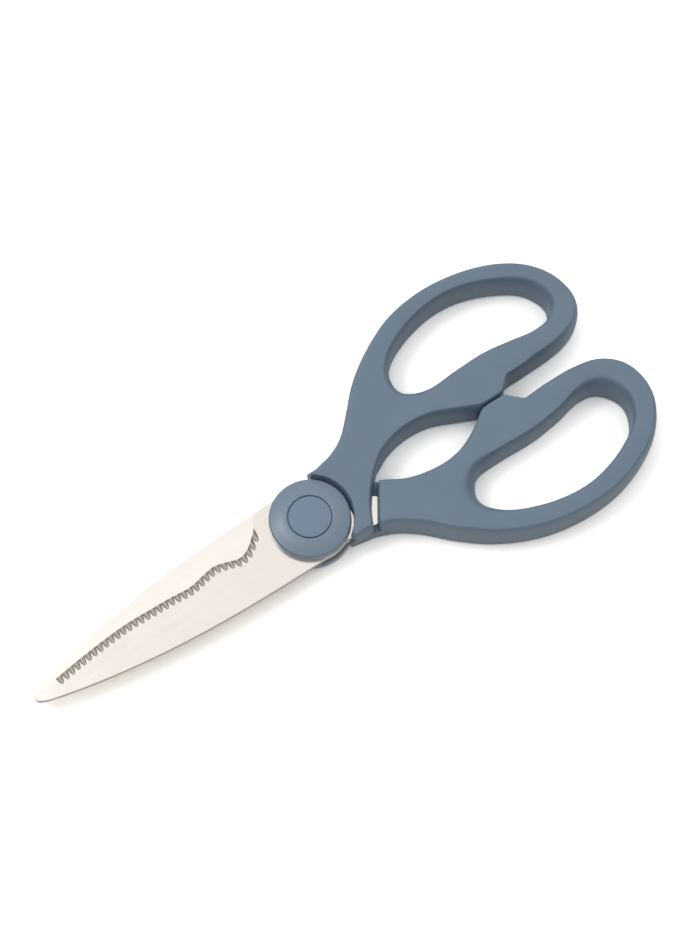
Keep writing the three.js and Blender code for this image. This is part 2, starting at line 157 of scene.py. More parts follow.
# Widths of the roundings along a handle's runs: step and eye, then the front's and the rear's own
SHARED_WIDTHS = [0.75, 1.4]
FRONT_WIDTHS = [1.1, 1.3, 0.4, 0.9]
REAR_WIDTHS = [1.0, 1.0]
TALLEST_ROUNDING = 6.2

# Angles between which a collar draws back from the hub disc, and the angle that it takes to do so
TUCK_FROM, TUCK_TO, TUCK_EASE = -0.5, 0.9, 0.2

# Small breaks on the blades, the tilt below which a face is a side wall, and how much paler the rear blade's
# copy of the same steel is: painted light on its face
BOSS_EDGE = 0.22
FACE_LAND = 0.12
BACK_BREAK, BACK_BREAK_HEIGHT = 0.03, 0.05
WALL_TILT = 0.2
REAR_PAINTED_LIGHT = 1.11

# Steps of the curves, spacing of the points, and the radius of the path that profiles are turned on
SPAN_STEPS = 24
ROUND_STEPS = 12
HANDLE_GRID = 2.4
BLADE_GRID = 3.0
BLADE_SPACING = 0.5
TURN_PATH = 8.0


# Settings, with lengths in metres. LEAST is the finest edge or spacing that the meshes can hold.

LEAST = 0.0002


def length(label, about, default, least=0.0):
    return FloatProperty(
        name=label, description=about, default=default, min=least, unit="LENGTH", precision=5)


def tint(label, about, default):
    return FloatVectorProperty(
        name=label, description=about, default=default, min=0.0, max=1.0, subtype="COLOR", size=3)


class HandleSettings(bpy.types.PropertyGroup):
    edge_width: length("Edge width", "Width of the rounding along the outer side", 0.0017, LEAST)
    edge_height: length("Edge height", "Depth of the rounding below the face", 0.0062, LEAST)
    far_height: length(
        "Far edge height", "Depth of the rounding on walls that face away in the photograph", 0.0014, LEAST)
    under_share: FloatProperty(
        name="Underside share", description="Width of the underside's rounding as a share of the upper side's",
        default=0.65, min=0.1, max=1.0, subtype="FACTOR")
    loop_edge: length(
        "Loop edge", "Width of the rounding round the finger loop, away from its scooped ends", 0.0015, LEAST)
    draft: length("Draft", "How far the walls lean in from the parting line", 0.0003)
    spacing: length("Spacing", "Distance between the points of the outline", 0.00045, LEAST)
    colour: tint("Colour", "Colour of the handle moulding", (0.154, 0.221, 0.294))


class HubSettings(bpy.types.PropertyGroup):
    rim_radius: length("Rim radius", "Radius of the disc at its upper edge", 0.0127)
    base_radius: length("Base radius", "Radius of the disc where it meets the blade", 0.01285)
    rear_rim_radius: length("Rear rim radius", "Radius of the rear disc at its lower edge", 0.01342)
    rear_base_radius: length("Rear base radius", "Radius of the rear disc where it meets the blade", 0.0133)
    crest_radius: length("Crest radius", "Radius of the domed ring's highest line, beside the groove", 0.0073)
    edge_drop: length("Edge drop", "How far the ring falls from its crest to the rim", 0.0012)
    lip_drop: length("Lip drop", "How far the ring falls from its crest to the cap", 0.00022)
    turns: IntProperty(name="Turn steps", description="Steps round the pivot", default=144, min=24)
    disc_colour: tint("Disc colour", "Colour of the hub discs", (0.178, 0.245, 0.325))
    cap_colour: tint("Cap colour", "Colour of the hub caps", (0.168, 0.246, 0.338))


class BladeSettings(bpy.types.PropertyGroup):
    edge_bevel: length("Edge bevel", "Width of the ground strip along the cutting edge", 0.00045)
    spine_break: length("Spine break", "Width of the broken corner along the spine", 0.00006)
    tooth_count: IntProperty(
        name="Teeth", description="Number of ground teeth on the front blade", default=35, min=1)
    tooth_pitch: length("Tooth pitch", "Distance between teeth", 0.00215)
    tooth_width: length("Tooth width", "Width of the grinding cut at the edge", 0.00244)
    tooth_depth: length("Tooth depth", "Depth of the cut at the edge", 0.00105)
    tooth_reach: length("Tooth reach", "Length of the cut from the edge", 0.0032)
    first_tooth: length("First tooth", "Place of the first tooth along the blade", -0.0901, -1.0)
    colour: tint("Colour", "Colour of the blade steel", (0.79, 0.745, 0.692))
    # This colour serves the teeth and the blades' side walls. On the teeth it is their ground finish, darkened
    # as a painted reflection of dark surroundings; on the side walls it is painted shade.
    ground_and_shade_colour: tint("Ground colour", "Colour of the freshly ground teeth", (0.47, 0.435, 0.39))


class StudioSettings(bpy.types.PropertyGroup):
    floor_colour: tint("Floor colour", "Colour of the floor", (0.93, 0.915, 0.89))
    floor_width: length("Floor width", "Side of the square floor", 6.0)
    azimuth: FloatProperty(
        name="Azimuth", description="Viewing direction round the object",
        default=VIEW_AZIMUTH, subtype="ANGLE")
    elevation: FloatProperty(
        name="Elevation", description="Viewing height above the floor",
        default=math.radians(70.5), subtype="ANGLE")
    distance: length("Distance", "From the camera to the hub", 0.65)


# Outline helpers, all in millimetres

def curve_through(points, steps=SPAN_STEPS, closed=False):
    """Dense points of a smooth curve through the given ones."""
    p = np.asarray(points, float)
    n = len(p)
    t = np.linspace(0, 1, steps, endpoint=False)[:, None]
    runs = []
    for i in range(n if closed else n - 1):
        a, b, c, d = p[[(i + k) % n if closed else min(max(i + k, 0), n - 1) for k in (-1, 0, 1, 2)]]
        cubic = (2 * a - 5 * b + 4 * c - d) * t ** 2 + (3 * b - a - 3 * c + d) * t ** 3
        runs.append(0.5 * (2 * b + (c - a) * t + cubic))
    if not closed:
        runs.append(p[-1:])
    return np.vstack(runs)


def on_circle(angles, radius, x=0.0, y=0.0):
    """Points at the given angles round a centre."""
    return np.column_stack([x + radius * np.cos(angles), y + radius * np.sin(angles)])


def quarter(steps):
    """Sines and cosines of even steps from 0 to a right angle."""
    return [(math.sin(math.pi / 2 * i / steps), math.cos(math.pi / 2 * i / steps)) for i in range(steps + 1)]


def evenly(points, spacing):
    """The same run with evenly spaced points, its ends kept."""
    p = np.asarray(points, float)
    along = np.concatenate([[0], np.cumsum(np.linalg.norm(np.diff(p, axis=0), axis=1))])
    count = max(1, round(along[-1] / spacing))
    want = np.linspace(0, along[-1], count + 1)
    return np.column_stack([np.interp(want, along, p[:, k]) for k in (0, 1)])


def soften(points, corners, reach, spacing):
    """Rounds the corners of a run of evenly spaced points that lie near the given places."""
    p = np.array(points, float)
    source = p.copy()
    window = int(3 * reach / spacing)
    for corner in corners:
        middle = int(np.argmin(np.linalg.norm(source - np.asarray(corner), axis=1)))
        for j in range(max(1, middle - window), min(len(p) - 1, middle + window + 1)):
            sigma = reach / spacing * (1 - abs(j - middle) / (window + 1))
            span = min(int(3 * sigma) + 1, j, len(p) - 1 - j)
            k = np.arange(-span, span + 1)
            weight = np.exp(-0.5 * (k / max(sigma, 1e-6)) ** 2)
            p[j] = (source[j + k] * weight[:, None]).sum(0) / weight.sum()
    return p


def eased(share):
    """Smooth step from 0 to 1."""
    share = np.clip(share, 0, 1)
    return share * share * (3 - 2 * share)


def inward_normals(points):
    """Unit normals to the left of a closed run, where the material lies."""
    along = np.roll(points, -1, axis=0) - np.roll(points, 1, axis=0)
    normal = np.column_stack([-along[:, 1], along[:, 0]])
    return normal / np.linalg.norm(normal, axis=1)[:, None]


def signed_area(points):
    x, y = points[:, 0], points[:, 1]
    return 0.5 * float(np.sum(x * np.roll(y, -1) - np.roll(x, -1) * y))


def inset(points, normals, width):
    """The run moved into the material. Points past a corner's bisector go between their neighbours."""
    moved = points + normals * width[:, None]
    ahead = np.roll(points, -1, axis=0) - points
    share = ((moved[:, None, :] - points) * ahead).sum(-1) / (ahead ** 2).sum(-1)
    near = points + np.clip(share, 0, 1)[..., None] * ahead
    gap = np.linalg.norm(moved[:, None, :] - near, axis=-1).min(1)
    good = gap > width * 0.96 - 0.01
    if good.any() and not good.all():
        n = len(points)
        index = np.flatnonzero(good)
        wrapped = np.concatenate([index - n, index, index + n])
        for k in (0, 1):
            values = np.tile(moved[good, k], 3)
            moved[~good, k] = np.interp(np.flatnonzero(~good), wrapped, values)
    return untangled(points, moved)


def untangled(points, moved):
    """Spreads out the points of a moved run where it doubles back on the run that it came from."""
    ahead = np.roll(points, -1, axis=0) - points
    for _ in range(40):
        step = np.roll(moved, -1, axis=0) - moved
        back = (step * ahead).sum(1) < 0.02 * (ahead ** 2).sum(1)
        if not back.any():
            break
        loose = back | np.roll(back, 1)
        loose = loose | np.roll(loose, 1) | np.roll(loose, -1)
        middle = (np.roll(moved, 1, axis=0) + np.roll(moved, -1, axis=0)) / 2
        moved = np.where(loose[:, None], middle, moved)
    return moved


def smooth_round(values, reach, spacing):
    """Closed run of numbers, blurred along its length."""
    sigma = reach / spacing
    k = np.arange(-int(3 * sigma), int(3 * sigma) + 1)
    weight = np.exp(-0.5 * (k / sigma) ** 2)
    return sum(w * np.roll(values, -shift) for shift, w in zip(k, weight)) / weight.sum()


def inside(points, outline):
    """Which points lie inside a closed outline."""
    x, y = points[:, 0][:, None], points[:, 1][:, None]
    x0, y0 = outline[:, 0][None], outline[:, 1][None]
    x1, y1 = np.roll(outline[:, 0], -1)[None], np.roll(outline[:, 1], -1)[None]
    spans = (y0 > y) != (y1 > y)
    with np.errstate(divide="ignore", invalid="ignore"):
        crossing = x < (x1 - x0) * (y - y0) / (y1 - y0) + x0
    return (spans & crossing).sum(1) % 2 == 1


def covered(points, outlines):
    """Which points lie inside the first outline and outside the others."""
    found = inside(points, outlines[0])
    for hole in outlines[1:]:
        found &= ~inside(points, hole)
    return found


def fill(outlines, grid):
    """Triangles of the area inside the first outline and outside the others, even by a grid of inner points.

    Returns the points that it adds, and triangles that index the outlines' points and then the added ones.
    """
    rim = np.vstack(outlines)
    edges = []
    start = 0
    for outline in outlines:
        n = len(outline)
        edges += [(start + i, start + (i + 1) % n) for i in range(n)]
        start += n
    low, high = outlines[0].min(0), outlines[0].max(0)
    xs = np.arange(low[0] + grid / 2, high[0], grid)
    ys = np.arange(low[1] + grid / 2, high[1], grid)
    inner = np.array([(x + (grid / 2 if j % 2 else 0), y) for j, y in enumerate(ys) for x in xs])
    inner = inner[covered(inner, outlines)]
    gap = np.array([np.linalg.norm(rim - p, axis=1).min() for p in inner])
    inner = inner[gap > grid * 0.45]
    made = delaunay_2d_cdt([Vector(p) for p in np.vstack([rim, inner])], edges, [], 0, 1e-7, True)
    points, triangles, origin = np.array([tuple(p) for p in made[0]]), made[2], made[3]
    name = [o[0] if o else -1 for o in origin]
    if -1 in name:
        raise RuntimeError(f"an outline crosses itself at {points[name.index(-1)]}")
    wanted = covered(np.array([points[list(t)].mean(0) for t in triangles]), outlines)
    faces = [tuple(name[i] for i in t) for t, use in zip(triangles, wanted) if use]
    return inner, faces


def welded(mesh, distance):
    """Joins the points of a mesh that coincide, drops faces without area and turns the others outwards."""
    work = bmesh.new()
    work.from_mesh(mesh)
    bmesh.ops.remove_doubles(work, verts=work.verts, dist=distance)
    bmesh.ops.dissolve_degenerate(work, edges=work.edges, dist=distance)
    bmesh.ops.recalc_face_normals(work, faces=work.faces)
    work.to_mesh(mesh)
    work.free()
    return mesh


class Shell:
    """Points and faces of one closed piece in millimetres, and each point's place on a worn edge."""

    def __init__(self):
        self.points = []
        self.edge = []
        self.faces = []

    def ring(self, flat, height, edge=0.0):
        start = len(self.points)
        n = len(flat)
        heights = np.broadcast_to(np.asarray(height, float), (n,))
        self.points += [(float(p[0]), float(p[1]), float(z)) for p, z in zip(flat, heights)]
        self.edge += list(np.broadcast_to(np.asarray(edge, float), (n,)))
        return start, n

    def wall(self, low, high):
        a, n = low
        b, _ = high
        for i in range(n):
            j = (i + 1) % n
            self.faces.append((a + i, a + j, b + j, b + i))

    def cap(self, rings, height, upward, grid):
        flats = [np.array([p[:2] for p in self.points[s:s + n]]) for s, n in rings]
        inner, faces = fill(flats, grid)
        start, n = self.ring(inner, height)
        index = [s + i for s, n in rings for i in range(n)] + list(range(start, start + n))
        for face in faces:
            a, b, c = (self.points[index[i]] for i in face)
            area = (b[0] - a[0]) * (c[1] - a[1]) - (c[0] - a[0]) * (b[1] - a[1])
            ordered = face if (area > 0) == upward else face[::-1]
            self.faces.append(tuple(index[i] for i in ordered))

    def turned_over(self):
        """Turns the piece over about the X axis, for the lower half."""
        self.points = [(x, -y, THICKNESS - z) for x, y, z in self.points]

    def mesh(self, name, node):
        """Blender mesh of the shell, welded, kept in the box of the solid that it stands for."""
        low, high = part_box(node)
        places = np.clip(np.array(self.points) * MM, np.array(low), np.array(high))
        mesh = bpy.data.meshes.new(name)
        mesh.from_pydata([tuple(p) for p in places], [], self.faces)
        layer = mesh.attributes.new("edge_wear", "FLOAT", "POINT")
        layer.data.foreach_set("value", np.array(self.edge, np.float32))
        return welded(mesh, 2e-7)


def shown(name, mesh):
    """Object at the origin that carries a mesh whose place is in its points."""
    piece = bpy.data.objects.new(name, mesh)
    bpy.context.scene.collection.objects.link(piece)
    return piece


def smooth_faces(mesh, degrees):
    mesh.polygons.foreach_set("use_smooth", [True] * len(mesh.polygons))
    mesh.set_sharp_from_angle(angle=math.radians(degrees))
    mesh.update()


def keep_faces_flat(mesh):
    """Marks the edges round the level faces as sharp, so that no slope beside them bends their shading."""
    level = [abs(polygon.normal.z) > 0.9999 for polygon in mesh.polygons]
    beside = [0] * len(mesh.edges)
    for polygon in mesh.polygons:
        for loop in polygon.loop_indices:
            beside[mesh.loops[loop].edge_index] |= 1 if level[polygon.index] else 2
    for edge in mesh.edges:
        if beside[edge.index] == 3:
            edge.use_edge_sharp = True
    mesh.update()


def dress(piece, node, body, slot, *materials):
    """Puts a finished piece in the place of a solid, on its body."""
    for material in materials:
        piece.data.materials.append(material)
    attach(piece, body)
    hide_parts(node)


# Materials

def feed(tree, node, values):
    """Sets a node's inputs, each to a value or by a link from another node's output."""
    for name, value in values.items():
        if isinstance(value, bpy.types.NodeSocket):
            tree.links.new(value, node.inputs[name])
        else:
            node.inputs[name].default_value = value


def added(tree, kind, values=None, **options):
    """New node with its options and inputs set."""
    node = tree.nodes.new(kind)
    for name, option in options.items():
        setattr(node, name, option)
    feed(tree, node, values or {})
    return node


def new_material(name):
    material = bpy.data.materials.new(name)
    material.use_nodes = True
    tree = material.node_tree
    tree.nodes.clear()
    shader = added(tree, "ShaderNodeBsdfPrincipled")
    added(tree, "ShaderNodeOutputMaterial", {"Surface": shader.outputs["BSDF"]})
    return material, tree, shader


def noise(tree, source, scale, detail, stretch=(1.0, 1.0, 1.0)):
    place = added(tree, "ShaderNodeMapping", {"Vector": source, "Scale": stretch}).outputs["Vector"]
    values = {"Vector": place, "Scale": scale, "Detail": detail}
    return added(tree, "ShaderNodeTexNoise", values).outputs["Fac"]


def ranged(tree, source, low, high, from_low=0.3, from_high=0.7):
    """A value moved from one range to another."""
    values = {"Value": source, "From Min": from_low, "From Max": from_high, "To Min": low, "To Max": high}
    return added(tree, "ShaderNodeMapRange", values).outputs["Result"]


def mixed(tree, factor, *colours):
    """Colour between two, each given as a colour or as another node's output."""
    first, second = (c if isinstance(c, bpy.types.NodeSocket) else (*c, 1.0) for c in colours)
    values = {"Factor": factor, "A": first, "B": second}
    return added(tree, "ShaderNodeMix", values, data_type="RGBA").outputs["Result"]


def combined(tree, operation, first, second):
    return added(tree, "ShaderNodeMath", {0: first, 1: second}, operation=operation).outputs["Value"]


def bumped(tree, height, strength, distance):
    values = {"Height": height, "Strength": strength, "Distance": distance}
    return added(tree, "ShaderNodeBump", values).outputs["Normal"]


def scaled(colour, factor):
    return tuple(min(1.0, c * factor) for c in colour)


def moulded_plastic(name, colour, roughness, grain, gloss):
    """Matte moulded plastic: slow tone changes, a fine spark-etched grain and paler worn edges."""
    material, tree, shader = new_material(name)
    place = added(tree, "ShaderNodeTexCoord").outputs["Object"]
    slow = ranged(tree, noise(tree, place, 45.0, 3.0), 0.0, 1.0)
    tone = mixed(tree, slow, scaled(colour, 0.97), scaled(colour, 1.03))
    wear = added(tree, "ShaderNodeAttribute", attribute_name="edge_wear").outputs["Fac"]
    patch = ranged(tree, noise(tree, place, 220.0, 4.0), 0.0, 0.16, 0.4, 0.75)
    amount = combined(tree, "MULTIPLY", wear, patch)
    fine = noise(tree, place, 2600.0, 2.0)
    feed(tree, shader, {
        "Base Color": mixed(tree, amount, tone, scaled(colour, 1.5)),
        "Roughness": ranged(tree, fine, roughness - 0.05, roughness + 0.05),
        "Normal": bumped(tree, fine, grain, 0.00004),
        "IOR": 1.48,
        "Specular IOR Level": gloss,
    })
    return material


def brushed_steel(name, colour, roughness, stretch, depth):
    """Stainless steel with fine lines from the polishing belt and a slow change of sheen."""
    material, tree, shader = new_material(name)
    place = added(tree, "ShaderNodeTexCoord").outputs["Object"]
    lines = noise(tree, place, 1.0, 4.0, stretch)
    slow = noise(tree, place, 60.0, 2.0)
    streaks = ranged(tree, lines, 0.0, 1.0)
    fine_sheen = ranged(tree, lines, roughness - 0.025, roughness + 0.025)
    slow_sheen = ranged(tree, slow, -0.03, 0.03)
    feed(tree, shader, {
        "Base Color": mixed(tree, streaks, scaled(colour, 0.96), scaled(colour, 1.02)),
        "Roughness": combined(tree, "ADD", fine_sheen, slow_sheen),
        "Normal": bumped(tree, lines, depth, 0.00002),
        "Metallic": 1.0,
    })
    return material


# Geometry Nodes

def node_tree(name, inputs):
    """Geometry Nodes tree with a geometry input and the named ones, their keys, and its entry's outputs."""
    tree = bpy.data.node_groups.new(name, "GeometryNodeTree")
    tree.interface.new_socket(name="Geometry", in_out="OUTPUT", socket_type="NodeSocketGeometry")
    sockets = {}
    for label, kind in {"Geometry": "Geometry", **inputs}.items():
        socket = tree.interface.new_socket(name=label, in_out="INPUT", socket_type="NodeSocket" + kind)
        sockets[label] = socket.identifier
    return tree, sockets, added(tree, "NodeGroupInput").outputs


def close_tree(tree, geometry, material):
    """Ends a tree in Realize Instances and Set Material."""
    solid = added(tree, "GeometryNodeRealizeInstances", {"Geometry": geometry}).outputs["Geometry"]
    paint = added(tree, "GeometryNodeSetMaterial", {"Geometry": solid, "Material": material})
    added(tree, "NodeGroupOutput", {"Geometry": paint.outputs["Geometry"]})


def baked(source, tree, sockets, values, name):
    """Plain mesh of an object run through a tree. The object and its modifier are then removed."""
    modifier = source.modifiers.new(tree.name, "NODES")
    modifier.node_group = tree
    for label, value in values.items():
        modifier[sockets[label]] = value
    bpy.context.view_layer.update()
    evaluated = source.evaluated_get(bpy.context.evaluated_depsgraph_get())
    mesh = bpy.data.meshes.new_from_object(evaluated)
    mesh.name = name
    source.modifiers.remove(modifier)
    bpy.data.objects.remove(source)
    return mesh


def poly_curve(name, runs):
    """Curve object made of straight runs of 3-D points in metres, each given with whether it closes."""
    curve = bpy.data.curves.new(name, "CURVE")
    curve.dimensions = "3D"
    for points, closed in runs:
        spline = curve.splines.new("POLY")
        spline.points.add(len(points) - 1)
        for point, place in zip(spline.points, points):
            point.co = (*place, 1.0)
        spline.use_cyclic_u = closed
    return shown(name, curve)


def turning_tree():
    """Turns a flat profile of radius and height round the pivot axis."""
    inputs = {"Path radius": "Float", "Steps": "Int", "Material": "Material"}
    tree, sockets, entry = node_tree("Turned piece", inputs)
    path = added(tree, "GeometryNodeCurvePrimitiveCircle", {
        "Radius": entry["Path radius"], "Resolution": entry["Steps"]})
    sweep = added(tree, "GeometryNodeCurveToMesh", {
        "Curve": path.outputs["Curve"], "Profile Curve": entry["Geometry"]})
    weld = added(tree, "GeometryNodeMergeByDistance", {
        "Geometry": sweep.outputs["Mesh"], "Distance": 1e-7})
    close_tree(tree, weld.outputs["Geometry"], entry["Material"])
    return tree, sockets


def teeth_tree():
    """Grinds a cutter into the blade at each point of a path along its edge."""
    inputs = {"Places": "Object", "Cutter": "Object", "Material": "Material"}
    tree, sockets, entry = node_tree("Ground teeth", inputs)
    places, cutter = (
        added(tree, "GeometryNodeObjectInfo", {"Object": entry[label]}).outputs["Geometry"]
        for label in ("Places", "Cutter")
    )
    points = added(tree, "GeometryNodeCurveToPoints", {"Curve": places}, mode="EVALUATED")
    scatter = added(tree, "GeometryNodeInstanceOnPoints", {
        "Points": points.outputs["Points"], "Instance": cutter})
    solid = added(tree, "GeometryNodeRealizeInstances", {"Geometry": scatter.outputs["Instances"]})
    cut = added(tree, "GeometryNodeMeshBoolean", {
        "Mesh 1": entry["Geometry"],
        "Mesh 2": solid.outputs["Geometry"],
        "Self Intersection": True,
    }, operation="DIFFERENCE", solver="EXACT")
    close_tree(tree, cut.outputs["Mesh"], entry["Material"])
    return tree, sockets


# Handles

def handle_runs(outline, spacing, collar_radius, collar_tuck):
    """Evenly spaced runs of a handle's outline: those that both levels share, the front's and the rear's."""
    outer = curve_through(outline["collar"] + outline["outer"])
    corner = SPAN_STEPS * len(outline["collar"])
    along = np.cumsum(np.linalg.norm(np.diff(outer[corner:], axis=0), axis=1))
    neck = corner + int(np.searchsorted(along, SHOULDER_CORNER)) + 1
    eye_and_foot = curve_through([outline["step"][-1]] + outline["eye"] + COLLAR_FOOT)
    eye_count = SPAN_STEPS * len(outline["eye"])
    eye, foot = eye_and_foot[:eye_count + 1], eye_and_foot[eye_count:]
    step = [tuple(outer[-1])] + outline["step"]
    foot_x = FOOT_END[0] - 0.1
    foot_start = np.array([foot_x, -math.sqrt(collar_radius ** 2 - foot_x ** 2)])
    top_start = np.array(outline["collar"][0])
    top_start = top_start * collar_radius / np.linalg.norm(top_start)
    low, high = (math.atan2(place[1], place[0]) for place in (foot_start, top_start))
    angles = np.linspace(low, high, 200)
    tuck = collar_tuck * eased((angles - TUCK_FROM) / TUCK_EASE) * eased((TUCK_TO - angles) / TUCK_EASE)
    arc = on_circle(angles, collar_radius - tuck)
    top = np.vstack([top_start[None], outer[:neck + 1]])
    line = np.asarray(outline["shoulder"]) - outer[corner]
    turn_start = outer[corner] + line / np.linalg.norm(line) * SHOULDER_CORNER
    t = np.linspace(0, 1, SPAN_STEPS)[:, None]
    turn = turn_start * (1 - t) ** 2 + outer[corner] * 2 * t * (1 - t) + outer[neck] * t ** 2
    shared = [outer[neck:], step, eye]
    front = [foot, [foot[-1], FOOT_END, foot_start], arc, top]
    rear = [[eye[-1], outline["shoulder"], turn_start], turn]
    return [[evenly(run, spacing) for run in runs] for runs in (shared, front, rear)]


def joined(runs):
    """One closed run from runs that start where the last one ended."""
    return np.vstack([run[:-1] for run in runs])


def run_values(runs, values):
    return np.concatenate([np.full(len(run) - 1, value) for run, value in zip(runs, values)])


def rounded_levels(shell, contour, normals, width, height, lean, top, bottom):
    """Rings of a wall from the parting plane to a face, rounded at its edge. Returns the last one."""
    sign = 1 if top > bottom else -1
    last = shell.ring(contour, bottom)
    for sine, cosine in quarter(ROUND_STEPS):
        flat = inset(contour, normals, lean + width * (1 - cosine))
        ring = shell.ring(flat, top - sign * height * (1 - sine), 2 * sine * cosine)
        shell.wall(*((last, ring) if sign > 0 else (ring, last)))
        last = ring
    return last


def handle_mesh(name, node, outline, settings, over):
    """Mesh of one handle. Its walls and roundings are taller where the photograph sees them."""
    spacing = settings.spacing / MM
    edge = settings.edge_width / MM
    draft = settings.draft / MM
    shared_runs, front_runs, rear_runs = handle_runs(outline, spacing, *outline["ring"])
    shared, front_own, rear_own = (
        soften(np.vstack([joined(runs), runs[-1][-1:]]), corners, reach, spacing)
        for runs, corners, reach in (
            (shared_runs, outline["step"], 0.55),
            (front_runs, [COLLAR_FOOT[-1], FOOT_END], 0.6),
            (rear_runs, [outline["shoulder"]], 0.7),
        )
    )
    front = np.vstack([shared[:-1], front_own[:-1]])
    rear = np.vstack([shared[:-1], rear_own[:-1]])
    shared_width = run_values(shared_runs, [edge, *SHARED_WIDTHS])
    front_width = np.concatenate([shared_width, run_values(front_runs, FRONT_WIDTHS)])
    from_collar = np.linalg.norm(front - np.asarray(outline["collar"][0]), axis=1)
    front_width *= 1 - 0.75 * np.exp(-(from_collar / 2.0) ** 2)
    rear_width = np.concatenate([shared_width, run_values(rear_runs, REAR_WIDTHS)])
    loop = np.vstack([curve_through(outline["loop"], closed=True), outline["loop"][:1]])
    loop = evenly(loop, spacing)[:-1]
    scoop = np.zeros(len(loop))
    for place, extra, reach in outline["scoops"]:
        away = np.linalg.norm(loop - np.asarray(place), axis=1)
        scoop += extra * np.exp(-(away / reach) ** 2)
    contours = {
        "front": (front, smooth_round(front_width, 1.6, spacing), 0.0),
        "rear": (rear, smooth_round(rear_width, 1.6, spacing), 0.0),
        "loop": (loop, np.full(len(loop), settings.loop_edge / MM), scoop),
    }
    near = np.array([math.sin(VIEW_AZIMUTH), math.cos(VIEW_AZIMUTH) * (1 if over else -1)])
    low, high = settings.far_height / MM, settings.edge_height / MM
    ready = {}
    for key, (run, width, scoop) in contours.items():
        clockwise = signed_area(run) < 0
        normals = inward_normals(run)
        if clockwise != (key == "loop"):
            normals = -normals
        seen = smooth_round(eased(((-normals * near).sum(1) + 0.3) / 0.9), 2.0, spacing)
        height = (low + (high - low) * seen) * width / edge + 1.2 * scoop
        height = np.clip(height, 0.4, TALLEST_ROUNDING)
        lean = np.clip(outline["ring"][0] - np.linalg.norm(run, axis=1), 0, None) * (key == "front")
        lean = lean + draft * np.clip(1 - height / (THICKNESS - SPLIT), 0, 1)
        ready[key] = (run, normals, width + scoop, height, lean)

    shell = Shell()
    tops, bottoms = [], []
    for key, level, rings, under in (
        ("front", THICKNESS, tops, over), ("loop", THICKNESS, tops, over),
        ("rear", 0.0, bottoms, not over), ("loop", 0.0, bottoms, not over),
    ):
        run, normals, width, height, lean = ready[key]
        if under:
            width = np.minimum(width, edge) * settings.under_share
            height = width * 1.3
            lean = np.full(len(run), draft / 2)
        rings.append(rounded_levels(shell, run, normals, width, height, lean, level, SPLIT))
    shell.cap(tops, THICKNESS, True, HANDLE_GRID)
    shell.cap(bottoms, 0.0, False, HANDLE_GRID)
    ledge = np.vstack([shared[-1:], front_own[1:], rear_own[-2:0:-1]])
    shell.cap([shell.ring(ledge, SPLIT)], SPLIT, False, HANDLE_GRID)
    if over:
        shell.turned_over()
    mesh = shell.mesh(name, node)
    smooth_faces(mesh, 32)
    return mesh


class SCISSORS_OT_handles(bpy.types.Operator):
    """Makes both handle mouldings, with rounded edges, scooped finger loops and collars"""
    bl_idname = "scissors.handles"
    bl_label = "Make handles"

    def execute(self, context):
        settings = context.scene.scissors_handles
        plastic = moulded_plastic("handle_moulding", tuple(settings.colour), 0.45, 0.14, 0.5)
        for node, body, outline, over in (
            ("upper_handle", "upper_half", UPPER, False),
            ("lower_handle", "lower_half", LOWER, True),
        ):
            mesh = handle_mesh(node + "_moulding", node, outline, settings, over)
            dress(shown(node + "_moulding", mesh), node, body, "handle_plastic", plastic)
        return {"FINISHED"}


# Hub

def turned_mesh(name, node, profile, over, settings, material):
    """Mesh turned from a closed profile of radius and height in millimetres, kept in its solid's box.

    A piece of the lower half is turned over.
    """
    flat = [((r - TURN_PATH) * MM, -h * MM, 0.0) for r, h in profile]
    source = poly_curve(name + "_profile", [(flat, True)])
    tree, sockets = turning_tree()
    mesh = baked(source, tree, sockets, {
        "Path radius": TURN_PATH * MM,
        "Steps": settings.turns,
        "Material": material,
    }, name)
    low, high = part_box(node)
    places = np.empty(len(mesh.vertices) * 3, np.float32)
    mesh.vertices.foreach_get("co", places)
    places = places.reshape(-1, 3)
    if over:
        places = places * np.array([1, -1, -1], np.float32) + np.array([0, 0, THICKNESS * MM], np.float32)
    places = np.clip(places, np.array(low), np.array(high))
    mesh.vertices.foreach_set("co", places.astype(np.float32).ravel())
    return welded(mesh, 1e-7)


def turned_pieces(pieces, settings, material, slot):
    """Turns pieces about the pivot and puts each in the place of its solid."""
    for node, body, profile, over in pieces:
        mesh = turned_mesh(node + "_turned", node, profile, over, settings, material)
        smooth_faces(mesh, 34)
        dress(shown(node + "_turned", mesh), node, body, slot)


def disc_profile(settings, foot, rim):
    """Half section of a hub disc: its rim, the domed ring, the lip round the cap and the pocket under it."""
    foot, rim = foot / MM, rim / MM
    top, base = THICKNESS, BLADE_FACE
    crest = settings.crest_radius / MM
    drop = settings.edge_drop / MM
    lip = settings.lip_drop / MM
    seat = top - CAP_THICKNESS
    corner = 0.8
    edge_top = top - drop
    points = [(HUB_BORE, base), (foot, base), (rim + 0.03, edge_top - corner)]
    points += [(rim - corner * (1 - c), edge_top - corner * (1 - s)) for s, c in quarter(4)]
    for share in np.linspace(0.06, 1, 16):
        r = rim - corner - (rim - corner - crest) * share
        points.append((r, top - drop * (1 - share) ** 1.5))
    points += [(crest - (crest - HUB_OPENING) * s, top - lip * (1 - c)) for s, c in quarter(5)[1:]]
    points += [(HUB_OPENING, seat), (HUB_POCKET, seat)]
    points += [(HUB_POCKET, base + HUB_FLOOR), (HUB_BORE, base + HUB_FLOOR)]
    return points


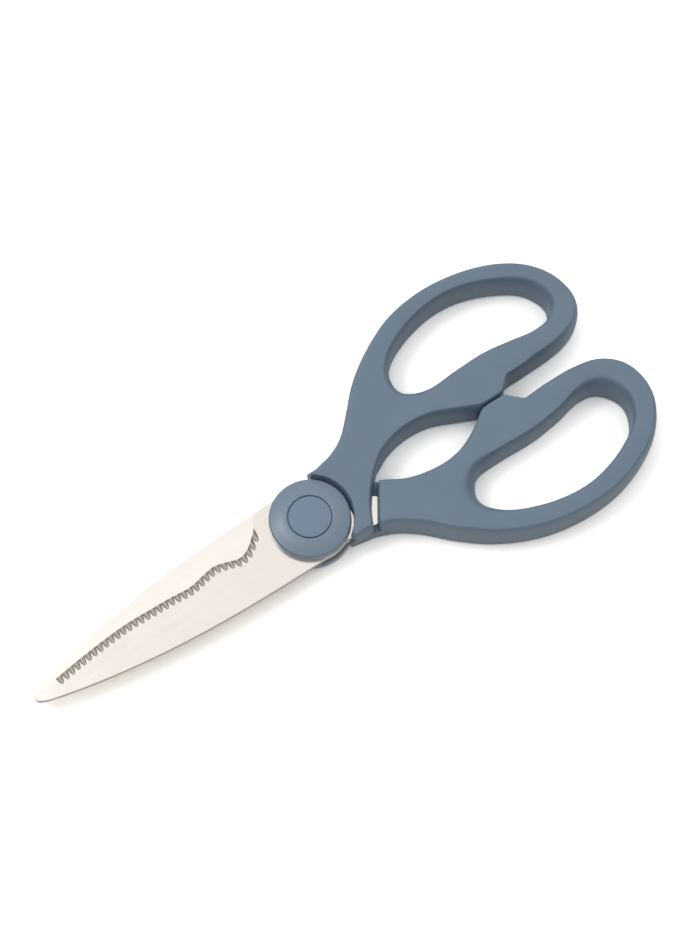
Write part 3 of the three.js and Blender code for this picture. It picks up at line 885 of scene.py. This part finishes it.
class SCISSORS_OT_hub_discs(bpy.types.Operator):
    """Turns the two domed hub discs about the pivot"""
    bl_idname = "scissors.hub_discs"
    bl_label = "Make hub discs"

    def execute(self, context):
        settings = context.scene.scissors_hub
        plastic = moulded_plastic("hub_moulding", tuple(settings.disc_colour), 0.34, 0.12, 0.8)
        front = disc_profile(settings, settings.base_radius, settings.rim_radius)
        rear = disc_profile(settings, settings.rear_base_radius, settings.rear_rim_radius)
        turned_pieces((
            ("front_hub_disc", "upper_half", front, False),
            ("rear_hub_disc", "lower_half", rear, True),
        ), settings, plastic, "hub_plastic")
        return {"FINISHED"}


def cap_profile():
    """Half section of a hub cap: a flat plug with a thin skirt below."""
    top, seat = THICKNESS, THICKNESS - CAP_THICKNESS
    skirt, skirt_wall, skirt_end = HUB_POCKET - 0.1, 0.5, seat - 0.7
    corner = 0.2
    points = [(0.0, seat), (skirt - skirt_wall, seat), (skirt - skirt_wall, skirt_end)]
    points += [(skirt, skirt_end), (skirt, seat), (HUB_CAP_RADIUS, seat)]
    points += [(HUB_CAP_RADIUS - corner * (1 - c), top - corner * (1 - s)) for s, c in quarter(4)]
    points += [(HUB_CAP_RADIUS * 0.6, top), (0.0, top)]
    return points


class SCISSORS_OT_hub_caps(bpy.types.Operator):
    """Turns the two flat caps that plug the hub discs"""
    bl_idname = "scissors.hub_caps"
    bl_label = "Make hub caps"

    def execute(self, context):
        settings = context.scene.scissors_hub
        plastic = moulded_plastic("cap_moulding", tuple(settings.cap_colour), 0.40, 0.12, 0.6)
        turned_pieces((
            ("front_hub_cap", "upper_half", cap_profile(), False),
            ("rear_hub_cap", "lower_half", cap_profile(), True),
        ), settings, plastic, "cap_plastic")
        return {"FINISHED"}


# Blades

def spine_height(x, extra):
    return -extra - BLADE_HALF_WIDTH * (1 - np.abs(x / SPINE_RUNOUT) ** SPINE_POWER)


def edge_run(edge):
    return curve_through([(-out, y) for out, y in edge])


def blade_runs(edge, extra, spacing):
    """Runs of a blade's outline: cutting edge, root and tang, spine, and the round tip."""
    cutting = edge_run(edge)
    heel = cutting[-1]
    tang = curve_through([(-6.0, 12.0), (4.0, 11.6)] + TANG, 12)
    turn = -math.pi / 2 - math.acos((BLADE_HALF_WIDTH + extra) / BOSS_RADIUS)
    root = np.vstack([tang, on_circle(np.linspace(math.radians(-61), turn, 40), BOSS_RADIUS)])
    xs = np.linspace(root[-1, 0] - 0.4, -97.0, 120)
    spine = np.column_stack([xs, spine_height(xs, extra)])
    angles = np.radians(np.linspace(250, 100, 30))
    tip = on_circle(angles, TIP_RADIUS, -BLADE_REACH + TIP_RADIUS, -TIP_DROP)
    return [
        evenly(cutting, spacing),
        evenly(np.vstack([heel[None], root, spine[:1]]), spacing),
        evenly(spine, spacing),
        evenly(np.vstack([spine[-1:], tip, cutting[:1]]), spacing / 2),
    ]


def blade_mesh(name, node, edge, extra, settings, over):
    """Mesh of one blade: a bevelled wall round its outline, two holes and level faces."""
    runs = blade_runs(edge, extra, BLADE_SPACING)
    contour = joined(runs)
    normals = inward_normals(contour)
    if signed_area(contour) < 0:
        normals = -normals
    bevel = settings.edge_bevel / MM
    broken = settings.spine_break / MM
    edge_width = run_values(runs, [bevel, broken, broken, bevel * 0.6])
    on_boss = (np.abs(np.linalg.norm(contour, axis=1) - BOSS_RADIUS) < 0.02) & (contour[:, 1] < 0)
    edge_width[on_boss] = BOSS_EDGE
    heel = eased((contour[:, 0] + 22.0) / 4.0) * ~on_boss
    edge_width = smooth_round(edge_width + (broken - edge_width) * heel, 0.8, BLADE_SPACING)
    zero = np.zeros(len(contour))
    shell = Shell()
    rings = [shell.ring(inset(contour, normals, np.maximum(width, 0)), z) for width, z in (
        (zero + BACK_BREAK, BLADE_BACK),
        (zero, BLADE_BACK + BACK_BREAK_HEIGHT),
        (zero, BLADE_BACK + FACE_LAND),
        (edge_width - broken * 0.9, BLADE_FACE - FACE_LAND),
        (edge_width, BLADE_FACE),
    )]
    for low, high in zip(rings, rings[1:]):
        shell.wall(low, high)
    bottoms, tops = [rings[0]], [rings[-1]]
    turn = np.linspace(0, 2 * math.pi, 48, endpoint=False)
    for hole in (on_circle(turn, SCREW_HOLE), on_circle(turn, LOCK_HOLE, *LOCK_AT)):
        low = shell.ring(hole, BLADE_BACK)
        high = shell.ring(hole, BLADE_FACE)
        shell.wall(high, low)
        bottoms.append(low)
        tops.append(high)
    shell.cap(bottoms, BLADE_BACK, False, BLADE_GRID)
    shell.cap(tops, BLADE_FACE, True, BLADE_GRID)
    if over:
        shell.turned_over()
    return shell.mesh(name, node)


def tooth_cutter(settings):
    """Round-nosed cutter that sinks from the blade's face to its full depth at the edge, its origin."""
    depth, reach = settings.tooth_depth, settings.tooth_reach
    heights = depth * np.array([0.0, 0.015, 0.05, 0.11, 0.2, 0.32, 0.48, 0.7, 1.0, 1.5])
    widths = settings.tooth_width / 2 * (heights / depth) ** 0.38
    section = [(-w, h) for w, h in zip(widths[::-1], heights[::-1])]
    section += [(w, h) for w, h in zip(widths[1:], heights[1:])]
    points = []
    for along in (0.0015, -1.15 * reach):
        floor = -depth * (1 + along / reach)
        points += [(x, along, floor + h) for x, h in section]
    n = len(section)
    faces = [tuple(range(n)), tuple(range(2 * n - 1, n - 1, -1))]
    faces += [(i, i + n, (i + 1) % n + n, (i + 1) % n) for i in range(n)]
    mesh = bpy.data.meshes.new("tooth_cutter")
    mesh.from_pydata(points, [], faces)
    return shown("tooth_cutter", welded(mesh, 1e-7))


def grind_teeth(blade, edge, settings, steel):
    """Cuts the teeth into the front blade with the node tree and returns the new mesh."""
    cutting = edge_run(edge)
    xs = settings.first_tooth + settings.tooth_pitch * np.arange(settings.tooth_count)
    ys = np.interp(xs / MM, cutting[:, 0], cutting[:, 1]) * MM
    places = poly_curve("tooth_places", [([(x, y, BLADE_FACE * MM) for x, y in zip(xs, ys)], False)])
    cutter = tooth_cutter(settings)
    tree, sockets = teeth_tree()
    mesh = baked(blade, tree, sockets, {
        "Places": places,
        "Cutter": cutter,
        "Material": steel,
    }, "front_blade_ground")
    bpy.data.objects.remove(places)
    bpy.data.objects.remove(cutter)
    return mesh


def mark_teeth(mesh, edge, settings):
    """Gives the cut faces the ground steel, the second material: a rougher ground finish, in a darker colour
    that paints the grooves' dark reflections.
    """
    cutting = edge_run(edge)
    face = BLADE_FACE * MM
    reach = settings.tooth_reach + 0.0004
    start = settings.first_tooth - 0.6 * settings.tooth_pitch
    end = settings.first_tooth + (settings.tooth_count - 0.4) * settings.tooth_pitch
    for polygon in mesh.polygons:
        x, y, z = polygon.center
        near_edge = y > np.interp(x / MM, cutting[:, 0], cutting[:, 1]) * MM - reach
        if near_edge and start < x < end and z < face - 1e-6 and 0.12 < polygon.normal.z < 0.9999:
            polygon.material_index = 1


def finish_blade(mesh, node, body, *steels):
    """Gives the side walls the second, darker steel as painted shade, and puts the blade in the place of its
    solid.
    """
    # Walls that face sideways take the darker steel: painted shade, standing in for the shaded floor that they
    # reflect.
    for polygon in mesh.polygons:
        if abs(polygon.normal.z) < WALL_TILT:
            polygon.material_index = 1
    smooth_faces(mesh, 24)
    keep_faces_flat(mesh)
    dress(shown(mesh.name, mesh), node, body, "blade_steel", *steels)


class SCISSORS_OT_blades(bpy.types.Operator):
    """Makes both blades and grinds the teeth into the front one"""
    bl_idname = "scissors.blades"
    bl_label = "Make blades"

    def execute(self, context):
        settings = context.scene.scissors_blades
        colour = tuple(settings.colour)
        along, across = (60.0, 4200.0, 4200.0), (3800.0, 200.0, 3800.0)
        steel = brushed_steel("blade_steel", colour, 0.2, along, 0.02)
        # The rear blade uses the same steel painted paler: painted light, brightening its face.
        pale = brushed_steel("rear_steel", scaled(colour, REAR_PAINTED_LIGHT), 0.2, along, 0.02)
        # Second steel: rougher ground finish on the teeth. Its darker colour is a painted dark reflection in
        # the teeth and painted shade on the side walls.
        ground = brushed_steel("ground_steel", tuple(settings.ground_and_shade_colour), 0.45, across, 0.3)
        plain = blade_mesh("front_blade_plain", "front_blade", FRONT_EDGE, FRONT_EXTRA_WIDTH, settings, False)
        mesh = grind_teeth(shown("front_blade_plain", plain), FRONT_EDGE, settings, steel)
        mesh.materials.clear()
        mark_teeth(mesh, FRONT_EDGE, settings)
        finish_blade(mesh, "front_blade", "upper_half", steel, ground)
        mesh = blade_mesh("rear_blade_plain", "rear_blade", REAR_EDGE, 0.0, settings, True)
        finish_blade(mesh, "rear_blade", "lower_half", pale, ground)
        return {"FINISHED"}


class SCISSORS_OT_pivot(bpy.types.Operator):
    """Gives the screw, nut and washers inside the hub their turned steel"""
    bl_idname = "scissors.pivot"
    bl_label = "Finish pivot"

    def execute(self, context):
        steel = brushed_steel("pivot_steel", (0.42, 0.41, 0.40), 0.34, (900.0, 900.0, 5000.0), 0.2)
        for node in ("pivot_screw", "pivot_nut", "head_washer", "spring_washer"):
            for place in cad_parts[node].material_slots:
                place.material = steel
        return {"FINISHED"}


# Studio

def floor_material(colour):
    """Pale floor. The camera and reflections see it a little brighter, so that it ends in white."""
    material, tree, shader = new_material("studio_floor")
    path = added(tree, "ShaderNodeLightPath").outputs
    mirrored = combined(tree, "MAXIMUM", path["Is Glossy Ray"], path["Is Transmission Ray"])
    reflected = mixed(tree, mirrored, colour, (1.15, 1.13, 1.09))
    feed(tree, shader, {
        "Base Color": mixed(tree, path["Is Camera Ray"], reflected, (1.78, 1.755, 1.70)),
        "Roughness": 0.9,
        "Specular IOR Level": 0.0,
    })
    return material


def studio_world():
    """Soft dome: bright overhead, dim near the horizon, and white where the camera sees it."""
    world = bpy.data.worlds.new("studio_dome")
    world.use_nodes = True
    tree = world.node_tree
    tree.nodes.clear()
    place = added(tree, "ShaderNodeTexCoord").outputs["Generated"]
    brightest = Vector((0.10, 0.26, 1.0)).normalized()
    height = added(tree, "ShaderNodeVectorMath", {0: place, 1: brightest}, operation="DOT_PRODUCT")
    ramp = added(tree, "ShaderNodeValToRGB", {"Fac": height.outputs["Value"]})
    for stop, position, grey in zip(ramp.color_ramp.elements, (0.15, 0.88), (0.03, 1.08)):
        stop.position = position
        stop.color = (grey, grey, grey, 1.0)
    dome = added(tree, "ShaderNodeBackground", {"Color": ramp.outputs["Color"]})
    white = added(tree, "ShaderNodeBackground", {"Color": (1.0, 1.0, 1.0, 1.0)})
    mix = added(tree, "ShaderNodeMixShader", {
        "Fac": added(tree, "ShaderNodeLightPath").outputs["Is Camera Ray"],
        1: dome.outputs["Background"],
        2: white.outputs["Background"],
    })
    added(tree, "ShaderNodeOutputWorld", {"Surface": mix.outputs["Shader"]})
    bpy.context.scene.world = world


def soft_lamp(name, place, size, power):
    lamp = bpy.data.lights.new(name, "AREA")
    lamp.shape = "SQUARE"
    lamp.size = size
    lamp.energy = power
    holder = bpy.data.objects.new(name, lamp)
    holder.location = place
    holder.rotation_euler = (-Vector(place)).to_track_quat("-Z", "Y").to_euler()
    bpy.context.scene.collection.objects.link(holder)


def photo_camera(settings):
    """Camera whose picture, 700 by 934, puts the hub where the photograph has it."""
    a, e, distance = settings.azimuth, settings.elevation, settings.distance
    right = Vector((math.cos(a), math.sin(a), 0.0))
    back = Vector((math.sin(a) * math.cos(e), -math.cos(a) * math.cos(e), math.sin(e)))
    up = back.cross(right)
    width, height = 700, 934
    focal = distance / (0.307 * MM)
    hub_x, hub_y = 309.86, 516.53
    ray = -back + right * ((hub_x - width / 2) / focal) - up * ((hub_y - height / 2) / focal)
    camera = bpy.data.cameras.new("photo_camera")
    camera.lens = camera.sensor_width * focal / height
    camera.clip_start = 0.01
    camera.clip_end = 20.0
    holder = bpy.data.objects.new("photo_camera", camera)
    turn = Matrix((right, up, back)).transposed().to_4x4()
    holder.matrix_world = Matrix.Translation(Vector((0, 0, THICKNESS * MM)) - ray * distance) @ turn
    bpy.context.scene.collection.objects.link(holder)
    bpy.context.scene.camera = holder


class SCISSORS_OT_studio(bpy.types.Operator):
    """Makes the pale floor, the soft light and the camera"""
    bl_idname = "scissors.studio"
    bl_label = "Make studio"

    def execute(self, context):
        settings = context.scene.scissors_studio
        mesh = bpy.data.meshes.new("studio_floor")
        half = settings.floor_width / 2
        corners = [(-half, -half, 0), (half, -half, 0), (half, half, 0), (-half, half, 0)]
        mesh.from_pydata(corners, [], [(0, 1, 2, 3)])
        floor = shown("studio_floor", mesh)
        floor.location.z = -0.0002
        mesh.materials.append(floor_material(tuple(settings.floor_colour)))
        studio_world()
        soft_lamp("side_lamp", (-0.43, 0.46, 1.08), 0.42, 2.6)
        photo_camera(settings)
        context.scene.view_settings.view_transform = "Standard"
        return {"FINISHED"}


class SCISSORS_PT_panel(bpy.types.Panel):
    """Lists the steps that build the scissors"""
    bl_idname = "SCISSORS_PT_panel"
    bl_label = "Kitchen scissors"
    bl_space_type = "VIEW_3D"
    bl_region_type = "UI"
    bl_category = "Scissors"

    def draw(self, context):
        for operator in OPERATORS:
            self.layout.operator(operator.bl_idname)


GROUPS = {
    "scissors_handles": HandleSettings,
    "scissors_hub": HubSettings,
    "scissors_blades": BladeSettings,
    "scissors_studio": StudioSettings,
}
OPERATORS = (
    SCISSORS_OT_handles,
    SCISSORS_OT_hub_discs,
    SCISSORS_OT_hub_caps,
    SCISSORS_OT_blades,
    SCISSORS_OT_pivot,
    SCISSORS_OT_studio,
)
CLASSES = (*GROUPS.values(), *OPERATORS, SCISSORS_PT_panel)


def register():
    for cls in CLASSES:
        bpy.utils.register_class(cls)
    for name, group in GROUPS.items():
        setattr(bpy.types.Scene, name, PointerProperty(type=group))


def unregister():
    for name in GROUPS:
        delattr(bpy.types.Scene, name)
    for cls in reversed(CLASSES):
        bpy.utils.unregister_class(cls)


def main():
    register()
    bpy.ops.scissors.handles()
    bpy.ops.scissors.hub_discs()
    bpy.ops.scissors.hub_caps()
    bpy.ops.scissors.blades()
    bpy.ops.scissors.pivot()
    bpy.ops.scissors.studio()


if __name__ == "__main__":
    main()
